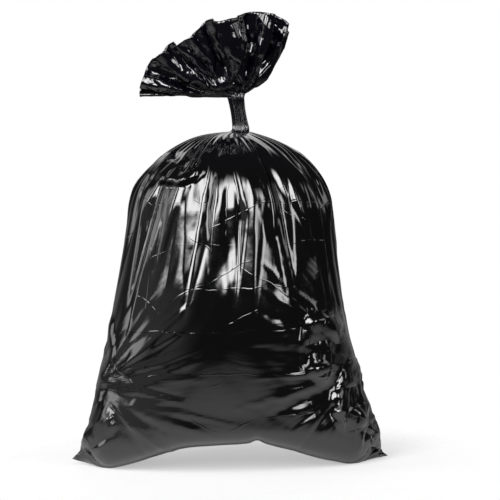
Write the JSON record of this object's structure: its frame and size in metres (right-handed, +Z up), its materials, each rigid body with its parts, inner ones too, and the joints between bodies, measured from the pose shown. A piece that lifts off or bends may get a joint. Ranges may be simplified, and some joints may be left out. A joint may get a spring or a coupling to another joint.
{
  "type": "filled bin bag",
  "caption": "Glossy black refuse sack, filled, with its neck gathered in, its mouth fanned out above and sealed corners below.",
  "frame": {"origin": "on the floor, under the middle of the sack's width and depth", "axes": "+Z up through the gathered neck, +X across the front to the viewer's right, -Y towards the front"},
  "size_m": [0.508, 0.3196, 0.7205],
  "materials": {
    "film": "gloss"
  },
  "bodies": {
    "root": {"bag": "film"}
  },
  "joints": []
}
